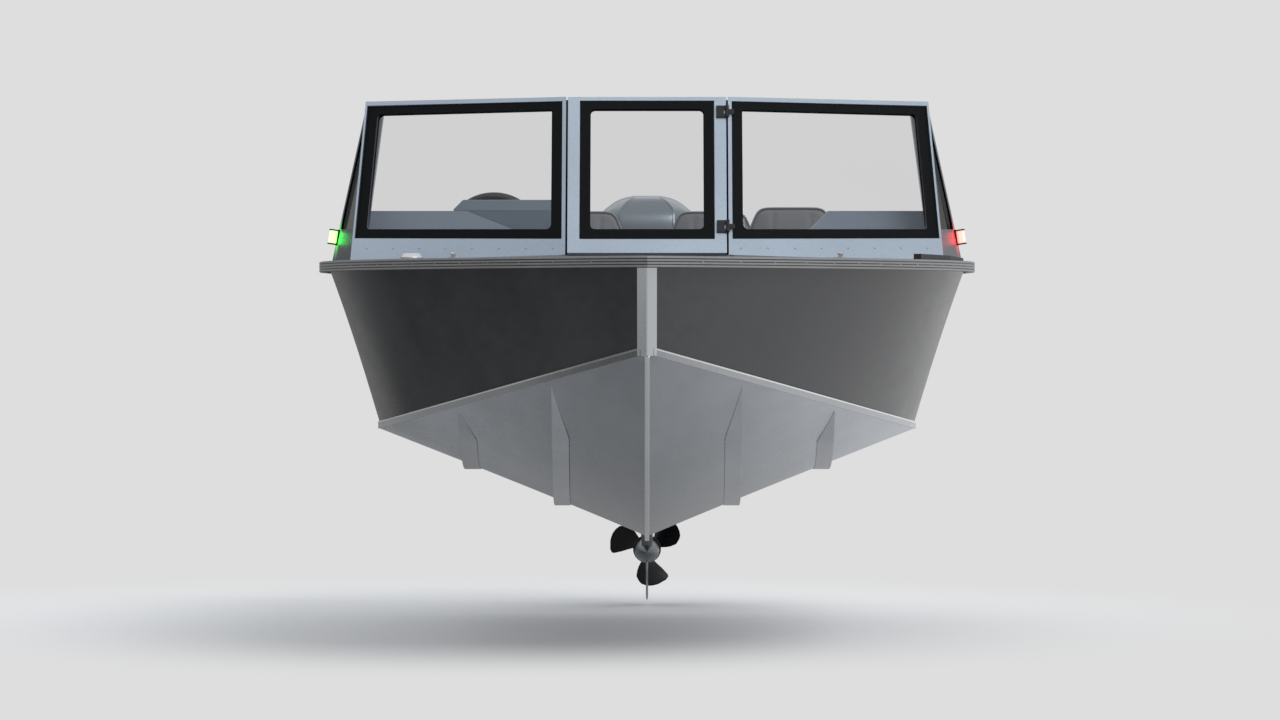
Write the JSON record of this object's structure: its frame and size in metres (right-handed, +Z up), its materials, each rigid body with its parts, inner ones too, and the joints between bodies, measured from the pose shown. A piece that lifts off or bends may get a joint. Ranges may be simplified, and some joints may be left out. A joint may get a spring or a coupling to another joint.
{
  "type": "fishing boat",
  "caption": "Open welded aluminium fishing boat with a vee bottom, a walk-through windshield, swivel seats and an outboard motor.",
  "frame": {"origin": "on the centre line amidships, at the height of the still water", "axes": "+X to port, +Y to the stern, +Z up"},
  "size_m": [2.0512, 5.6663, 1.721],
  "materials": {
    "bare_hull": "brushed, welded sheet",
    "chine_metal": "satin extrusion",
    "stem_metal": "satin sheet",
    "charcoal_paint": "gloss charcoal",
    "rail_metal": "satin extrusion",
    "deck_paint": "satin grey",
    "floor_covering": "grained vinyl",
    "console_grey": "satin blue-grey",
    "black_plastic": "fine grain",
    "grip_rubber": "soft grip",
    "shield_metal": "satin anodised",
    "border_rubber": "glazing rubber",
    "clear_glass": "clear with a faint tint",
    "red_lens": "clear red",
    "green_lens": "clear green",
    "seat_vinyl": "grey vinyl",
    "seat_shell": "moulded",
    "pedestal_metal": "brushed tube",
    "fitting_steel": "polished stainless",
    "motor_black": "gloss black",
    "leg_grey": "metallic grey",
    "cowl_grey": "metallic silver grey",
    "engine_iron": "as cast",
    "propeller_black": "gloss black"
  },
  "bodies": {
    "hull": {"aft_deck": "floor_covering", "aft_seat_pads": "seat_vinyl", "aft_seat_shells": "seat_shell", "bottom_plating": "bare_hull", "bottom_strakes": "bare_hull", "bow_platform": "floor_covering", "chine_angles": "chine_metal", "cockpit_floor": "floor_covering", "console_port": "console_grey", "console_starboard": "console_grey", "deck_fittings": "fitting_steel", "door_hinge_posts": "black_plastic", "foredeck": "deck_paint", "helm_pod": "black_plastic", "motor_clamp": "motor_black", "nav_lens_port": "red_lens", "nav_lens_starboard": "green_lens", "nav_light_bases": "black_plastic", "rod_holders": "black_plastic", "rub_rails": "rail_metal", "seat_pedestals": "pedestal_metal", "side_deck_rail": "black_plastic", "side_decks": "deck_paint", "splash_well": "deck_paint", "steering_column": "black_plastic", "stem_and_keel": "stem_metal", "throttle_box": "black_plastic", "topsides": "charcoal_paint", "transom": "charcoal_paint", "windshield_borders": "border_rubber", "windshield_frames": "shield_metal", "windshield_glass": "clear_glass"},
    "bow_hatch": {"bow_hatch_lid": "floor_covering"},
    "aft_hatch": {"aft_hatch_lid": "floor_covering"},
    "glove_door": {"glovebox_door": "console_grey"},
    "helm_wheel": {"steering_wheel": "grip_rubber"},
    "shield_door": {"door_frame": "shield_metal", "door_border": "border_rubber", "door_glass": "clear_glass", "door_hinge_leaves": "black_plastic"},
    "helm_seat": {"helm_seat_pads": "seat_vinyl", "helm_seat_shell": "seat_shell"},
    "passenger_seat": {"passenger_seat_pads": "seat_vinyl", "passenger_seat_shell": "seat_shell"},
    "tilting_bracket": {"motor_swivel": "motor_black"},
    "motor": {"motor_leg": "leg_grey", "motor_cowl": "cowl_grey", "engine_block": "engine_iron"},
    "propeller": {"propeller": "propeller_black"}
  },
  "joints": [
    {"name": "bow_hatch_hinge", "type": "hinge", "parent": "hull", "child": "bow_hatch", "pos_m": [0, -1.5975, 0.2247], "axis": [1, 0, 0], "range_deg": [0, 100]},
    {"name": "aft_hatch_hinge", "type": "hinge", "parent": "hull", "child": "aft_hatch", "pos_m": [0.6, 1.9475, 0.3047], "axis": [-1, 0, 0], "range_deg": [0, 80]},
    {"name": "glove_door_hinge", "type": "hinge", "parent": "hull", "child": "glove_door", "pos_m": [0.67, 0.3732, 0.61], "axis": [-1, 0, 0], "range_deg": [0, 95]},
    {"name": "helm_wheel_turn", "type": "hinge", "parent": "hull", "child": "helm_wheel", "pos_m": [-0.489, 0.535, 0.647], "axis": [0, 0.9063, 0.4226], "range_deg": [-495, 495]},
    {"name": "shield_door_hinge", "type": "hinge", "parent": "hull", "child": "shield_door", "pos_m": [0.24475, -0.36906, 1.02722], "axis": [0, 0.4597, 0.8881], "range_deg": [0, 165]},
    {"name": "helm_seat_swivel", "type": "hinge", "parent": "hull", "child": "helm_seat", "pos_m": [-0.478, 1.005, 0.3], "axis": [0, 0, 1], "continuous": true},
    {"name": "passenger_seat_swivel", "type": "hinge", "parent": "hull", "child": "passenger_seat", "pos_m": [0.478, 1.005, 0.3], "axis": [0, 0, 1], "continuous": true},
    {"name": "motor_tilt", "type": "hinge", "parent": "hull", "child": "tilting_bracket", "pos_m": [0, 2.518, 0.262], "axis": [1, 0, 0], "range_deg": [0, 66]},
    {"name": "motor_steer", "type": "hinge", "parent": "tilting_bracket", "child": "motor", "pos_m": [0, 2.6, 0.12], "axis": [0, 0, 1], "range_deg": [-33, 33]},
    {"name": "propeller_spin", "type": "hinge", "parent": "motor", "child": "propeller", "pos_m": [0, 3, -0.475], "axis": [0, 1, 0], "continuous": true}
  ],
  "couplings": [
    {"joint": "helm_wheel_turn", "follows": "motor_steer", "ratio": -15}
  ]
}
